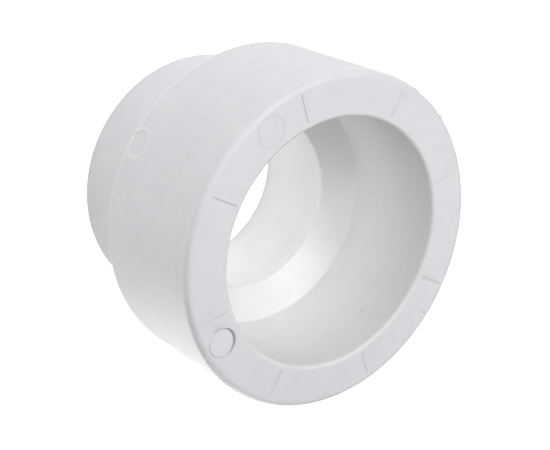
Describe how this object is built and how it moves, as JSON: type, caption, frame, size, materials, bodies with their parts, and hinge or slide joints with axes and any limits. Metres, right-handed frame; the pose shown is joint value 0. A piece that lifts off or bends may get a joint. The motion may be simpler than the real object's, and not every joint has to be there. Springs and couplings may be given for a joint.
{
  "type": "reducing coupling",
  "caption": "Plastic socket-fusion reducing coupling: a stepped round body with a large socket, a conical shoulder and stop ring inside, and a smaller socket at the other end.",
  "frame": {"origin": "centre of the small end face, which the part stands on", "axes": "+Z along the pipe axis, from the small end out of the large socket"},
  "size_m": [0.0666, 0.0666, 0.049],
  "materials": {
    "white_plastic": "semi-matte moulded white polypropylene"
  },
  "bodies": {
    "root": {"coupling_body": "white_plastic"}
  },
  "joints": []
}
